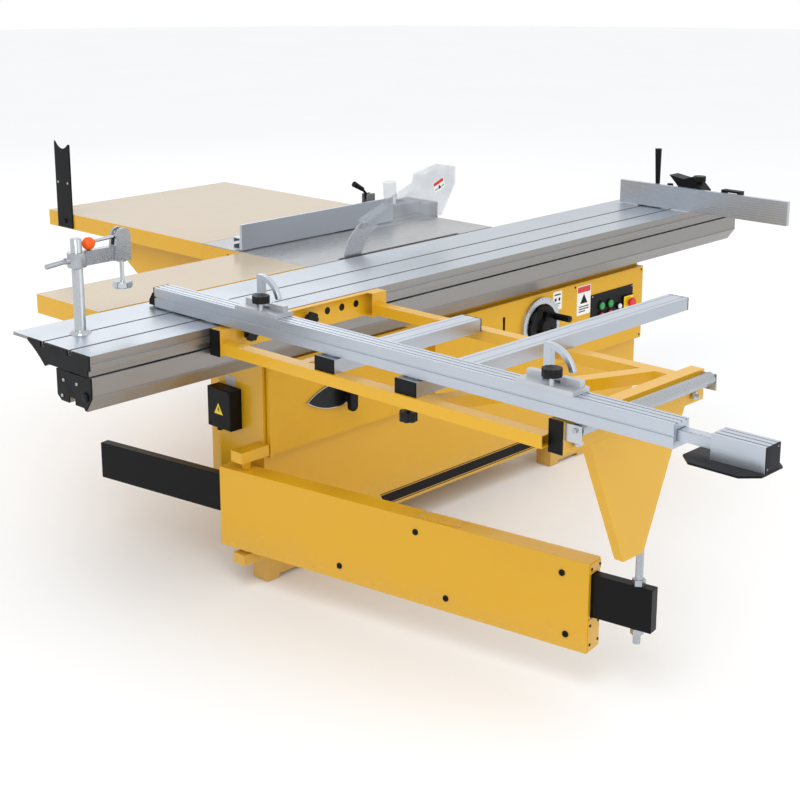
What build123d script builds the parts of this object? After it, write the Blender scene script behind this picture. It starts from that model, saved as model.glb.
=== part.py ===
"""Sliding-table panel saw, in millimetres.

X runs along the sliding table, with the operator at +X. Y runs from the crosscut
outrigger (-Y) to the side table (+Y). Z is up, and the floor is z = 0.
"""

import os
from math import cos, radians, sin

from build123d import *

# ---- driving dimensions ----------------------------------------------------
table_height = 880
running_gap = 0.3
free_gap = 3
sheet = 4

slide_length = 3200
slide_width = 360
table_near = -70
end_plate = 4
slide_body_depth = 58
slot_width = 14
slot_mouth = 8
slot_depth = 16
slot_offsets = (90, 213)

beam_length = 3140
beam_width = 158
beam_bottom_drop = 150
rail_gap = 4

cast_length = 928
cast_width = 540
cast_start_x = -488
cast_slab = 22
cast_depth = 42
side_length = 898
side_width = 952
outfeed_length = 822
outfeed_width = 320
outfeed_near = 300
pan_depth = 60
pan_wall = 3
table_split = 2

cabinet_x = (-932, 990)
cabinet_near = 23
front_box_depth = 207
cabinet_floor = 90
front_box_top = 715
foot_length = 215
foot_depth = 66
door_height = 283
door_width = 604
door_depth = 14
door_bottom = 413
hinge_pin_radius = 3

control_x = (-200, 990)
control_depth = 28
control_z = (405, 690)
wheel_x = 352
wheel_z = 575
wheel_radius = 78
wheel_stand = 5
wheel_rim = 18
ring_radius = 103
ring_height = 13
panel_x = (657, 922)
panel_z = (505, 630)

blade_x = -85
blade_plane = 310
blade_radius = 150
blade_thickness = 3.2
blade_rest_drop = 165
arbor_radius = 12.5
scoring_x = 185
scoring_drop = 84
scoring_radius = 60
knife_thickness = 3
knife_gap = 8
blade_top_drop = 60
trunnion_inner = 195
trunnion_band = 20
trunnion_width = 20
trunnion_rear = -350
trunnion_front = 290

frame_x = (-1200, -541)
frame_reach = 1165
frame_side_height = 80
frame_side_width = 40
member_height = 32
bar_height = 38
bar_width = 70
short_bar_near = -550
short_bar_length = 576
long_bar_near = -838
long_bar_length = 1192
roller_radius = 17

fence_x = -1173
fence_height = 57
fence_width = 58
fence_lift = 5
fence_start = 216
fence_length = 1783
extension_reach = 218
wall = 3

pivot_x = -1002
pivot_y = 27
arm_angle = -81.4
arm_tail = 79
arm_length = 1248
arm_height = 250
arm_width = 64
arm_bottom = 138
arm_wall = 5
telescope_height = 118
telescope_width = 32
telescope_top = 354
telescope_tail = 600
rod_distance = 1293
rod_radius = 10
leg_bottom = 455

rip_face = 630
rip_height = 90
rip_length = 745
rip_rail_radius = 20

post_x = -1481
post_radius = 15.5
clamp_reach = 146

short_fence_x = 1175
short_fence_y = (-502, 245)
short_fence_height = 90
short_fence_plate = 18

# ---- worked-out places -------------------------------------------------------
table_far = table_near + slide_width
slide_start = -slide_length / 2
slide_end = slide_length / 2
slide_bottom = table_height - slide_body_depth
beam_near = table_near + 5
beam_far = beam_near + beam_width
beam_top = slide_bottom - rail_gap
beam_bottom = table_height - beam_bottom_drop
beam_start = slide_start + 6
beam_end = beam_start + beam_length
cast_near = table_far + 6
cast_far = cast_near + cast_width
cast_end_x = cast_start_x + cast_length
cast_bottom = table_height - cast_depth
side_far = cast_far + side_width
side_end_x = cast_start_x + side_length
outfeed_start_x = cast_start_x - outfeed_length
pan_bottom = table_height - pan_depth
front_box_far = cabinet_near + front_box_depth
body_x = (cast_start_x + 8, cast_end_x - 8)
body_far = cast_far - 8
blade_rest_z = table_height - blade_rest_drop
scoring_z = table_height - scoring_drop
frame_near = table_near - frame_reach
member_top = table_height - bar_height
fence_bottom = table_height + fence_lift
fence_top = fence_bottom + fence_height
fence_end = fence_start - fence_length
telescope_bottom = telescope_top - telescope_height
arm_top = arm_bottom + arm_height
arm_head = arm_length - arm_tail
door_x = (cabinet_x[0] + 8, cabinet_x[0] + 8 + door_width)
door_z = (door_bottom, door_bottom + door_height)
door_front = cabinet_near - 4 - door_depth
hinge_x = door_x[0] + 7
hinge_y = door_front + 8
rip_bottom = table_height + free_gap + 1
post_y = table_near + slot_offsets[1]
rod_x = pivot_x + rod_distance * cos(radians(arm_angle))
rod_y = pivot_y + rod_distance * sin(radians(arm_angle))

os.makedirs("parts", exist_ok=True)


# ---- shared shapes -----------------------------------------------------------
def block(x, y, z, mode=Mode.ADD):
    """Box between (low, high) pairs along the three axes."""
    with Locations(((x[0] + x[1]) / 2, (y[0] + y[1]) / 2, (z[0] + z[1]) / 2)):
        Box(x[1] - x[0], y[1] - y[0], z[1] - z[0], mode=mode)


def rod(start, direction, radius, length, mode=Mode.ADD):
    """Cylinder from a start point along a direction."""
    with Locations(Plane(origin=start, z_dir=direction)):
        Cylinder(radius, length, align=(Align.CENTER, Align.CENTER, Align.MIN), mode=mode)


def taper(start, direction, base, top, length):
    """Cone frustum from a start point along a direction."""
    with Locations(Plane(origin=start, z_dir=direction)):
        Cone(base, top, length, align=(Align.CENTER, Align.CENTER, Align.MIN))


def pan(x, y, z, thickness):
    """Sheet-metal table top: a flat sheet with its edges folded down."""
    block(x, y, z)
    inside_x = (x[0] + thickness, x[1] - thickness)
    inside_y = (y[0] + thickness, y[1] - thickness)
    block(inside_x, inside_y, (z[0], z[1] - thickness), Mode.SUBTRACT)


def save(piece, label):
    piece.part.label = label
    export_step(piece.part, f"parts/{label}.step")


ALONG_X = (1, 0, 0)
ALONG_Y = (0, 1, 0)
TOWARD_NEAR = (0, -1, 0)
UP = (0, 0, 1)
DOWN = (0, 0, -1)
TOWARD_REAR = (-1, 0, 0)

# ---- cabinet -------------------------------------------------------------------
foot_step = 12
tunnel_x = (trunnion_rear - 16, trunnion_front + trunnion_width + 16)
tunnel_near = 105
with BuildPart() as cabinet:
    block(cabinet_x, (cabinet_near, front_box_far), (cabinet_floor, front_box_top))
    block(body_x, (front_box_far - 30, body_far), (cabinet_floor, front_box_top))
    block(body_x, (cast_near + 4, body_far), (front_box_top - sheet, cast_bottom))
    block((cabinet_x[0] + sheet, cabinet_x[1] - sheet),
          (cabinet_near + sheet, front_box_far - sheet),
          (cabinet_floor + sheet, front_box_top - sheet), Mode.SUBTRACT)
    block((body_x[0] + sheet, body_x[1] - sheet), (front_box_far - 30, body_far - sheet),
          (cabinet_floor + sheet, front_box_top - sheet), Mode.SUBTRACT)
    block((body_x[0] + sheet, body_x[1] - sheet), (cast_near + 4 + sheet, body_far - sheet),
          (front_box_top - 2 * sheet, cast_bottom), Mode.SUBTRACT)
    # opening that the tilting blade and trunnions pass through
    block(tunnel_x, (tunnel_near, cast_near + 4 + sheet), (front_box_top - sheet, cast_bottom),
          Mode.SUBTRACT)
    # doorway
    block((door_x[0] + 40, door_x[1] - 40), (cabinet_near, cabinet_near + sheet),
          (door_z[0] + 40, door_z[1] - 40), Mode.SUBTRACT)
    # holes for the two handwheel shafts and the scale window
    rod((wheel_x, cabinet_near, wheel_z), ALONG_Y, arbor_radius + 1, sheet, Mode.SUBTRACT)
    rod((cabinet_x[1] - sheet, 125, wheel_z), ALONG_X, arbor_radius + 1, sheet, Mode.SUBTRACT)
    # feet, each with a raised step behind its pad
    for foot_x in (cabinet_x[0], cabinet_x[0] + 1406):
        block((foot_x, foot_x + foot_length), (cabinet_near, cabinet_near + foot_depth),
              (foot_step, cabinet_floor))
        block((foot_x, foot_x + 50), (cabinet_near, cabinet_near + foot_depth), (0, foot_step))
        block((foot_x + foot_length - 50, foot_x + foot_length),
              (cabinet_near, cabinet_near + foot_depth), (0, foot_step))
    for foot_x in (body_x[0], body_x[1] - 120):
        block((foot_x, foot_x + 120), (body_far - 120, body_far), (0, cabinet_floor))
    # corner pillar, proud of the rear face
    block((cabinet_x[0] - 3, cabinet_x[0]), (cabinet_near, cabinet_near + 85),
          (cabinet_floor, front_box_top - 20))
    # hinge lugs and their pins for the door
    for lug_z, pin_z in ((door_z[1] + running_gap, door_z[1] - 10), (door_z[0] - 8, door_z[0] - 1)):
        block((door_x[0], door_x[0] + 14), (hinge_y - 7, cabinet_near), (lug_z, lug_z + 8 - running_gap))
        rod((hinge_x, hinge_y, pin_z), UP, hinge_pin_radius, 11)
    # pivot brackets for the swing arm, each with a stub pin
    for low, high in ((416, 450), (92, 125)):
        block((pivot_x - 38, cabinet_x[0]), (pivot_y - 24, pivot_y + 24), (low, high))
    rod((pivot_x, pivot_y, arm_top - arm_wall), UP, 8, 416 - arm_top + arm_wall)
    rod((pivot_x, pivot_y, arm_top + 0.5), UP, 14, 416 - arm_top - 0.5)
    rod((pivot_x, pivot_y, 125), UP, 8, arm_bottom + arm_wall - 125)
    rod((pivot_x, pivot_y, 125), UP, 14, arm_bottom - 125 - 0.5)
save(cabinet, "cabinet")

emblem_x = -651
emblem_z = 545
emblem_half = 122
knob_x = -612
knob_z = 533
with BuildPart() as door:
    block(door_x, (door_front, door_front + door_depth), door_z)
    block((door_x[0] + 14, door_x[1] - 14), (door_front + 3, door_front + door_depth),
          (door_z[0] + 14, door_z[1] - 14), Mode.SUBTRACT)
    rod((hinge_x, hinge_y, door_z[0]), UP, hinge_pin_radius + 0.1, 12, Mode.SUBTRACT)
    rod((hinge_x, hinge_y, door_z[1]), DOWN, hinge_pin_radius + 0.1, 12, Mode.SUBTRACT)
    fillet(door.edges().filter_by(Axis.Z).group_by(Axis.Y)[0], 2)
    # leaf-shaped plate with a boss that the door knob turns on
    with BuildSketch(Plane.XZ.offset(-door_front)) as leaf:
        with BuildLine():
            ThreePointArc((emblem_x - emblem_half, emblem_z), (emblem_x, emblem_z + 38),
                          (emblem_x + emblem_half, emblem_z))
            ThreePointArc((emblem_x + emblem_half, emblem_z), (emblem_x, emblem_z - 38),
                          (emblem_x - emblem_half, emblem_z))
        make_face()
    extrude(amount=8)
    rod((knob_x, door_front - 8, knob_z), TOWARD_NEAR, 14, 6)
    rod((knob_x, door_front - 14, knob_z), TOWARD_NEAR, 6, 20)
save(door, "door")

with BuildPart() as door_knob:
    rod((knob_x, door_front - 14 - running_gap, knob_z), TOWARD_NEAR, 19, 18)
    with BuildSketch(Plane.XZ.offset(30 - door_front)):
        with Locations((knob_x, knob_z - 4)):
            SlotCenterToCenter(46, 34, rotation=90)
    extrude(amount=16)
    rod((knob_x, door_front - 14, knob_z), TOWARD_NEAR, 6.1, 21, Mode.SUBTRACT)
    fillet(door_knob.edges().group_by(Axis.Y)[0], 4)
save(door_knob, "door_knob")

# ---- controls --------------------------------------------------------------------
control_near = cabinet_near - control_depth
with BuildPart() as control_box:
    block(control_x, (control_near, cabinet_near), control_z)
    block((control_x[0] + 2, control_x[1] - 2), (control_near + 2, cabinet_near),
          (control_z[0] + 2, control_z[1] - 2), Mode.SUBTRACT)
    rod((wheel_x, control_near, wheel_z), ALONG_Y, arbor_radius + 1, 2, Mode.SUBTRACT)
    block((148, 162), (control_near, control_near + 2), (554, 641), Mode.SUBTRACT)
    fillet(control_box.edges().filter_by(Axis.X).group_by(Axis.Y)[0], 1.5)
    # dial ring round the handwheel
    with Locations(Plane(origin=(wheel_x, control_near, wheel_z), z_dir=TOWARD_NEAR)):
        Cylinder(ring_radius, ring_height, align=(Align.CENTER, Align.CENTER, Align.MIN))
        Cylinder(wheel_radius + free_gap, ring_height, align=(Align.CENTER, Align.CENTER, Align.MIN),
                 mode=Mode.SUBTRACT)
save(control_box, "control_box")

button_pitch = 54
button_x = panel_x[0] + 61
button_z = (581, 541)
stop_x = 890
button_radius = 14
panel_face = control_near - 3
button_travel = 4
with BuildPart() as control_panel:
    block(panel_x, (panel_face, control_near), panel_z)
    for column in range(2):
        for row in button_z:
            rod((button_x + column * button_pitch, panel_face, row), TOWARD_NEAR, 18, 5)
            rod((button_x + column * button_pitch, panel_face - 5, row), ALONG_Y,
                button_radius + running_gap, 7, Mode.SUBTRACT)
    block((stop_x - 34, stop_x + 30), (panel_face - 6, panel_face), (537, 593))
    rod((stop_x, panel_face - 6, 565), ALONG_Y, 9 + running_gap, 8, Mode.SUBTRACT)
    # signal lamp between the buttons and the stop
    rod((stop_x - 62, panel_face, 561), TOWARD_NEAR, 12, 8)
save(control_panel, "control_panel")

button_names = ("start_main", "start_scoring", "stop_main", "stop_scoring")
for number, label in enumerate(button_names):
    centre_x = button_x + (number % 2) * button_pitch
    with BuildPart() as button:
        rod((centre_x, panel_face - 10, button_z[number // 2]), ALONG_Y, button_radius,
            10 - button_travel)
        chamfer(button.edges().group_by(Axis.Y)[0], 1)
    save(button, label)

with BuildPart() as emergency_stop:
    rod((stop_x, panel_face - button_travel, 565), TOWARD_NEAR, 9, 13)
    taper((stop_x, panel_face - 14, 565), TOWARD_NEAR, 14, 20, 6)
    rod((stop_x, panel_face - 20, 565), TOWARD_NEAR, 20, 8)
    fillet(emergency_stop.edges().group_by(Axis.Y)[0], 4)
save(emergency_stop, "emergency_stop")

with BuildPart() as electrical_box:
    block((cabinet_x[0] - 47, cabinet_x[0]), (124, 230), (473, 599))
    fillet(electrical_box.edges().group_by(Axis.X)[0], 4)
    rod((cabinet_x[0] - 24, 200, 473), DOWN, 9, 14)
    for screw_y in (132, 222):
        for screw_z in (481, 591):
            rod((cabinet_x[0] - 47, screw_y, screw_z), TOWARD_REAR, 3, 1.5)
save(electrical_box, "electrical_box")


def handwheel(centre, across, outward, label, shaft):
    """Lobed handwheel with a shaft going in and a crank handle standing out."""
    face = Plane(origin=centre, x_dir=across, z_dir=outward)
    with BuildPart() as wheel:
        with BuildSketch(face.offset(wheel_stand)):
            Circle(wheel_radius)
            with PolarLocations(wheel_radius + 8, 9):
                Circle(14, mode=Mode.SUBTRACT)
            with PolarLocations(wheel_radius * 0.52, 3, start_angle=90):
                Circle(15, mode=Mode.SUBTRACT)
        extrude(amount=wheel_rim)
        fillet(wheel.edges().filter_by(GeomType.CIRCLE)
               .filter_by(lambda e: e.radius > wheel_radius - 1), 5)
        with BuildSketch(face.offset(-shaft)):
            Circle(arbor_radius)
        extrude(amount=shaft + wheel_stand)
        with BuildSketch(face.offset(wheel_stand)):
            Circle(26)
        extrude(amount=wheel_rim + 14)
        # crank handle on its pin
        for offset, radius, length in ((wheel_stand + wheel_rim, 8, 10),
                                       (wheel_stand + wheel_rim + 10, 12, 66)):
            with BuildSketch(face.offset(offset)):
                with Locations((50, 30)):
                    Circle(radius)
            extrude(amount=length)
    save(wheel, label)


handwheel((wheel_x, control_near, wheel_z), ALONG_X, TOWARD_NEAR, "height_wheel", 50)
handwheel((cabinet_x[1], 125, wheel_z), ALONG_Y, ALONG_X, "tilt_wheel", 20)

# ---- saw table ---------------------------------------------------------------------
notch_x = (blade_x - 257, blade_x + 347)
slot_far = blade_plane + 4
slot_relief = 26
rib = 15
with BuildPart() as cast_table:
    block((cast_start_x, cast_end_x), (cast_near, cast_far), (cast_bottom, table_height))
    block((cast_start_x + rib, cast_end_x - rib), (cast_near + rib, cast_far - rib),
          (cast_bottom, table_height - cast_slab), Mode.SUBTRACT)
    for rib_x in (trunnion_rear, trunnion_front):
        block((rib_x, rib_x + trunnion_width), (cast_near + rib, cast_far - rib),
              (cast_bottom, table_height - cast_slab))
    # blade slot, wider below so that the tilting blade and its arbor clear the casting
    block(notch_x, (cast_near, slot_far), (cast_bottom, table_height), Mode.SUBTRACT)
    block(notch_x, (slot_far, slot_far + slot_relief), (cast_bottom, table_height - cast_slab / 2),
          Mode.SUBTRACT)
save(cast_table, "cast_table")

with BuildPart() as outfeed_table:
    pan((outfeed_start_x, cast_start_x - table_split), (outfeed_near, outfeed_near + outfeed_width),
        (pan_bottom, table_height), pan_wall)
save(outfeed_table, "outfeed_table")

with BuildPart() as side_table:
    pan((cast_start_x, side_end_x), (cast_far + table_split, side_far), (pan_bottom, table_height),
        pan_wall)
save(side_table, "side_table")

# arms under the outfeed table, and braced arms under the side table
arm_section = 36
arm_under = pan_bottom - 30
with BuildPart() as table_brackets:
    for near in (outfeed_near + 60, outfeed_near + outfeed_width - 96):
        block((outfeed_start_x + pan_wall + 60, body_x[0]), (near, near + arm_section),
              (arm_under, pan_bottom))
        with BuildSketch(Plane.XZ.offset(-near)):
            with BuildLine():
                Polyline((body_x[0], arm_under), (body_x[0] - 460, arm_under),
                         (body_x[0], arm_under - 300), close=True)
            make_face()
        extrude(amount=-sheet)
    for start in (cast_start_x + 70, cast_start_x + 740):
        block((start, start + arm_section), (body_far, side_far - 260), (arm_under, pan_bottom))
        with BuildSketch(Plane.YZ.offset(start)):
            with BuildLine():
                Polyline((body_far, arm_under), (side_far - 300, arm_under),
                         (body_far, arm_under - 430), close=True)
            make_face()
        extrude(amount=sheet)
    # plate between the saw table's rear edge and the outfeed table
    block((cast_start_x - table_split, cast_start_x), (outfeed_near + outfeed_width + 4, cast_far),
          (pan_bottom, table_height - 4))
save(table_brackets, "table_brackets")

# flat bar with a forked top that stands on the side table's rear edge
fork_y = 1671
fork_width = 96
with BuildPart() as fork_bracket:
    with BuildSketch(Plane.YZ.offset(cast_start_x - 6)):
        with BuildLine():
            Polyline((fork_y - fork_width / 2, table_height - 56), (fork_y - fork_width / 2, 1150),
                     (fork_y - fork_width / 2 + 8, 1150), close=False)
            RadiusArc((fork_y - fork_width / 2 + 8, 1150), (fork_y + fork_width / 2 - 8, 1150), -52)
            Polyline((fork_y + fork_width / 2 - 8, 1150), (fork_y + fork_width / 2, 1158),
                     (fork_y + fork_width / 2, table_height - 56),
                     (fork_y - fork_width / 2, table_height - 56), close=False)
        make_face()
    extrude(amount=6)
    rod((cast_start_x - 6, fork_y, table_height - 30), TOWARD_REAR, 9, 6)
save(fork_bracket, "fork_bracket")

# ---- slide beam and sliding table ------------------------------------------------------
way_near = beam_near + 52
way_width = 50
way_depth = 6
with BuildPart() as slide_beam:
    with BuildSketch(Plane.YZ.offset(beam_start)):
        with BuildLine():
            Polyline((beam_near, beam_top), (beam_near, beam_bottom + 32), (beam_near + 31, beam_bottom - 11),
                     (beam_near + 38, beam_bottom), (beam_near + 76, beam_bottom),
                     (beam_near + 76, beam_bottom + 18), (beam_near + 104, beam_bottom + 18),
                     (beam_near + 104, beam_bottom), (beam_far - 18, beam_bottom),
                     (beam_far, beam_bottom + 14), (beam_far, beam_top), close=True)
        make_face()
        with Locations(((beam_near + beam_far) / 2 - 38, (beam_top + beam_bottom) / 2 + 6)):
            Rectangle(68, 50, mode=Mode.SUBTRACT)
        with Locations(((beam_near + beam_far) / 2 + 38, (beam_top + beam_bottom) / 2 + 6)):
            Rectangle(68, 50, mode=Mode.SUBTRACT)
        with Locations((way_near + way_width / 2, beam_top)):
            Rectangle(way_width, 2 * way_depth, mode=Mode.SUBTRACT)
    extrude(amount=beam_length)
    # groove along the outer face
    block((beam_start, beam_end), (beam_near, beam_near + 3), (beam_bottom + 34, beam_bottom + 38),
          Mode.SUBTRACT)
    # spacer that carries the beam on the cabinet, clear of its lower lip
    block((cabinet_x[0], cabinet_x[1]), (cabinet_near, beam_far - 18), (front_box_top, beam_bottom))
save(slide_beam, "slide_beam")

with BuildPart() as beam_end_plates:
    for plate_x in (beam_start - end_plate, beam_end):
        with BuildSketch(Plane.YZ.offset(plate_x)):
            with BuildLine():
                Polyline((beam_near + 2, beam_top - 2), (beam_near + 2, beam_bottom + 31),
                         (beam_near + 31, beam_bottom - 8), (beam_near + 38, beam_bottom),
                         (beam_near + 76, beam_bottom), (beam_near + 76, beam_bottom + 18),
                         (beam_near + 104, beam_bottom + 18), (beam_near + 104, beam_bottom),
                         (beam_far - 18, beam_bottom), (beam_far, beam_bottom + 14),
                         (beam_far, beam_top - 2), close=True)
            make_face()
        extrude(amount=end_plate)
save(beam_end_plates, "beam_end_plates")


lip = 9
lip_start = table_near + 285


def slide_section(start, clear, mouth):
    """Section of the sliding table: near body, and a thin lip that rises to the far edge."""
    with BuildSketch(Plane.YZ.offset(start)) as section:
        with BuildLine():
            Polyline((table_near + clear, table_height - clear), (table_near + clear, table_height - 41),
                     (table_near + 10, table_height - 41), (table_near + 10, slide_bottom),
                     (table_near + 190, slide_bottom), (table_near + 207, slide_bottom - 9))
            RadiusArc((table_near + 207, slide_bottom - 9), (lip_start, table_height - lip), 300)
            Polyline((lip_start, table_height - lip), (table_far - clear, table_height - lip),
                     (table_far - clear, table_height - clear), (table_near + clear, table_height - clear))
        make_face()
        for offset_y in slot_offsets:
            with Locations((table_near + offset_y, table_height)):
                Rectangle(mouth, 2 * slot_depth, mode=Mode.SUBTRACT)
    return section.sketch


with BuildPart() as sliding_table:
    extrude(slide_section(slide_start, 0, slot_mouth), amount=slide_length)
    with BuildSketch(Plane.YZ.offset(slide_start)):
        for offset_y in slot_offsets:
            with Locations((table_near + offset_y, table_height - slot_depth + 4)):
                Rectangle(slot_width, 8)
        with Locations((way_near + way_width / 2, slide_bottom)):
            Rectangle(way_width, 2 * way_depth)
        with Locations((table_near + 45, table_height - 32)):
            Rectangle(40, 26)
        with Locations((table_near + 150, table_height - 36)):
            Rectangle(50, 26)
        with Locations((table_near, table_height - 22)):
            Rectangle(8, 8)
    extrude(amount=slide_length, mode=Mode.SUBTRACT)
save(sliding_table, "sliding_table")

with BuildPart() as table_end_plates:
    for plate_x in (slide_start - end_plate, slide_end):
        extrude(slide_section(plate_x, 1.5, slot_width + 8), amount=end_plate)
        block((plate_x, plate_x + end_plate), (lip_start, table_far), (slide_bottom, table_height),
              Mode.SUBTRACT)
save(table_end_plates, "table_end_plates")

# flat cage with eight rollers that runs between the two ways
cage_length = 1500
cage_height = slide_bottom - rail_gap / 2
way_room = way_depth + rail_gap / 2
with BuildPart() as roller_cage:
    block((-cage_length / 2, cage_length / 2), (way_near + 3, way_near + way_width - 3),
          (cage_height - 1.5, cage_height + 1.5))
    for number in range(8):
        roller_x = -cage_length / 2 + 75 + number * (cage_length - 150) / 7
        rod((roller_x, way_near + 6, cage_height), ALONG_Y, way_room - running_gap, way_width - 12)
save(roller_cage, "roller_cage")

# ---- crosscut frame ------------------------------------------------------------------------
rear_member_x = frame_x[0] + 2
far_member_x = frame_x[1] - 54
side_top = table_height - 2
side_bottom = side_top - frame_side_height
outer_near = frame_near - frame_side_width
with BuildPart() as crosscut_frame:
    # channel against the sliding table, open toward the outrigger
    inner = (table_near - frame_side_width, table_near)
    block(frame_x, inner, (side_bottom + 5, side_top))
    block((frame_x[0] + 60, frame_x[1] - 60), (inner[0], inner[1] - 8), (side_bottom + 5, side_top),
          Mode.SUBTRACT)
    block((frame_x[0], frame_x[1]), (inner[0] + wall, inner[1] - 8), (side_bottom + 10, side_top - wall),
          Mode.SUBTRACT)
    block((frame_x[0] + 60, frame_x[1] - 60), (inner[1] - 20, inner[1] - 8), (side_top - wall, side_top))
    for hole_x in (-760, -700, -640):
        rod((hole_x, inner[1] - 8, table_height - 32), ALONG_Y, 11, 8, Mode.SUBTRACT)
    # outer tube, closed by caps at its ends
    block((frame_x[0] + 30, frame_x[1] - 50), (outer_near, frame_near), (side_bottom, side_top))
    block((frame_x[0] + 30, frame_x[1] - 50), (outer_near + wall, frame_near - wall),
          (side_bottom + wall, side_top - wall), Mode.SUBTRACT)
    # members across the table
    for member_x in (rear_member_x, far_member_x):
        block((member_x, member_x + frame_side_width), (frame_near, inner[0]),
              (member_top - member_height, member_top))
        block((member_x + wall, member_x + frame_side_width - wall), (frame_near, inner[0]),
              (member_top - member_height + wall, member_top - wall), Mode.SUBTRACT)
    # bar along the table under the short support bar
    middle_near = table_near - 352
    block((rear_member_x + frame_side_width, far_member_x), (middle_near, middle_near + 30),
          (member_top - member_height, member_top))
    # diagonal stiffener
    with BuildSketch(Plane.XY.offset(member_top - member_height)):
        with BuildLine():
            Polyline((rear_member_x + frame_side_width, -880), (rear_member_x + frame_side_width, -836),
                     (far_member_x, -1086), (far_member_x, -1130), close=True)
        make_face()
    extrude(amount=member_height)
save(crosscut_frame, "crosscut_frame")

with BuildPart() as support_bars:
    bar_x = fence_x - 14
    for near, length in ((short_bar_near, short_bar_length), (long_bar_near, long_bar_length)):
        block((bar_x, bar_x + length), (near, near + bar_width), (member_top, table_height))
        block((bar_x, bar_x + length), (near + wall, near + bar_width - wall),
              (member_top + wall, table_height - wall), Mode.SUBTRACT)
        for groove in (16, bar_width - 16):
            block((bar_x, bar_x + length), (near + groove - 2, near + groove + 2),
                  (table_height - 1.5, table_height), Mode.SUBTRACT)
save(support_bars, "support_bars")

cap = 4
with BuildPart() as end_caps:
    for near in (short_bar_near, long_bar_near):
        block((bar_x - cap, bar_x), (near, near + bar_width), (member_top, table_height))
    block((bar_x + short_bar_length, bar_x + short_bar_length + cap),
          (short_bar_near, short_bar_near + bar_width), (member_top, table_height))
    block((bar_x + long_bar_length, bar_x + long_bar_length + cap),
          (long_bar_near, long_bar_near + bar_width), (member_top, table_height))
    block((frame_x[0] - cap, frame_x[0]), inner, (side_bottom + 5, side_top))
    block((frame_x[0] + 30 - cap, frame_x[0] + 30), (outer_near, frame_near), (side_bottom, side_top))
    # plugs in the three holes of the channel
    for hole_x in (-760, -700, -640):
        rod((hole_x, inner[1] - 8, table_height - 32), ALONG_Y, 11, 6)
    # end cap of the crosscut fence, with its sloping nose
    block((fence_x, fence_x + fence_width), (fence_start, fence_start + cap), (fence_bottom, fence_top))
    with BuildSketch(Plane.YZ.offset(fence_x + 8)):
        with BuildLine():
            Polyline((fence_start + cap, fence_bottom), (fence_start + 36, fence_bottom),
                     (fence_start + 36, fence_bottom + 14), (fence_start + 20, fence_top - 20),
                     (fence_start + cap, fence_top - 14), close=True)
        make_face()
    extrude(amount=36)
save(end_caps, "end_caps")

# side roller, carried by two end brackets beyond the outer tube
roller_x = (frame_x[0] + 42, frame_x[1] - 72)
roller_y = outer_near - 30
roller_z = table_height - roller_radius
with BuildPart() as side_roller:
    rod((roller_x[0], roller_y, roller_z), ALONG_X, roller_radius, roller_x[1] - roller_x[0])
    rod((roller_x[0] - 14, roller_y, roller_z), ALONG_X, 6, roller_x[1] - roller_x[0] + 28)
save(side_roller, "side_roller")

# star knobs that clamp the frame and the bars, each with its stud
with BuildPart() as frame_hardware:
    for knob_at in (-1080, -847):
        rod((knob_at, inner[0] + 16, table_height - 36), ALONG_Y, 5, 16)
        with BuildSketch(Plane(origin=(knob_at, inner[0] + 16, table_height - 36), z_dir=TOWARD_NEAR)):
            Circle(20)
            with PolarLocations(23, 7):
                Circle(6, mode=Mode.SUBTRACT)
        extrude(amount=18)
    bar_knob = (rear_member_x + 20, long_bar_near + bar_width / 2)
    under_member = member_top - member_height
    rod((*bar_knob, under_member), DOWN, 5, 12)
    with BuildSketch(Plane(origin=(*bar_knob, under_member - 12), z_dir=DOWN)):
        Circle(23)
        with PolarLocations(26, 7):
            Circle(6, mode=Mode.SUBTRACT)
    extrude(amount=24)
    # end brackets of the side roller, and the bolts of the outer tube
    for plate_x in (roller_x[0] - 8, roller_x[1] + 4):
        block((plate_x, plate_x + 4), (roller_y - 16, outer_near), (roller_z - 30, roller_z + 12))
        rod((plate_x, roller_y, roller_z), ALONG_X, 6 + running_gap, 4, Mode.SUBTRACT)
    for bolt_x in (roller_x[0] + 30, roller_x[1] - 30):
        rod((bolt_x, outer_near, side_bottom + 22), TOWARD_NEAR, 5, 22)
        rod((bolt_x, outer_near - 4, side_bottom + 22), TOWARD_NEAR, 10, 8)
    for bolt_x in (roller_x[1] - 60, roller_x[1] - 20):
        rod((bolt_x, frame_near, side_top - 14), ALONG_Y, 8, 10)
save(frame_hardware, "frame_hardware")

# V-shaped leg folded from plate, under the outer tube
leg_top = side_bottom
leg_x = (-1069, -673)
foot_x = (-914, -829)
leg_near = outer_near
leg_flange = 28
with BuildPart() as v_leg:
    with BuildSketch(Plane.XZ.offset(-leg_near)):
        with BuildLine():
            Polyline((leg_x[0], leg_top), (foot_x[0], leg_bottom), (foot_x[1], leg_bottom),
                     (leg_x[1], leg_top), close=True)
        make_face()
    extrude(amount=-leg_flange)
    with BuildSketch(Plane.XZ.offset(-leg_near - sheet)):
        with BuildLine():
            Polyline((leg_x[0] + sheet + 1, leg_top), (foot_x[0] + sheet, leg_bottom + sheet),
                     (foot_x[1] - sheet, leg_bottom + sheet), (leg_x[1] - sheet - 1, leg_top), close=True)
        make_face()
    extrude(amount=-leg_flange, mode=Mode.SUBTRACT)
save(v_leg, "v_leg")

# ---- crosscut fence and its stops ------------------------------------------------------------
core = 34
fence_solid = 31


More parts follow.
